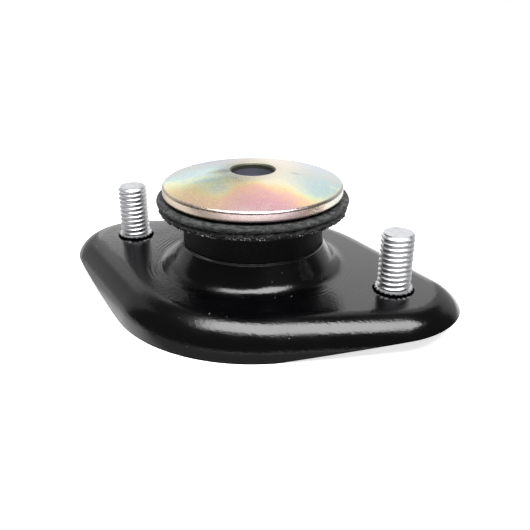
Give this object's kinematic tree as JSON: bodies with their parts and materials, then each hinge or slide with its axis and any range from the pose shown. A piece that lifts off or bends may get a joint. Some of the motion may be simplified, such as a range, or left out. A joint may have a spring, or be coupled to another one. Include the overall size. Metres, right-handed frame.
{
  "type": "strut mount",
  "caption": "Pressed steel strut top mount: plate with rolled skirt, ears with threaded studs, drawn collar, rubber bush round a bored sleeve, dished washer on top.",
  "frame": {"origin": "on the axis of the sleeve's bore, level with the lowest edge of the plate's skirt", "axes": "+Z along the bore towards the washer, +X towards the right stud, along the plate's length"},
  "size_m": [0.1054, 0.075, 0.0329],
  "materials": {
    "black_paint": "gloss black dip paint on pressed steel",
    "bright_zinc": "bright zinc plate on rolled thread",
    "bush_rubber": "moulded natural rubber, dull, with flash",
    "sleeve_steel": "plain drawn steel tube",
    "yellow_zinc": "yellow passivated zinc with rainbow tints"
  },
  "bodies": {
    "root": {"support_plate": "black_paint", "left_stud": "bright_zinc", "right_stud": "bright_zinc", "rubber_bush": "bush_rubber", "inner_sleeve": "sleeve_steel", "upper_washer": "yellow_zinc"}
  },
  "joints": []
}
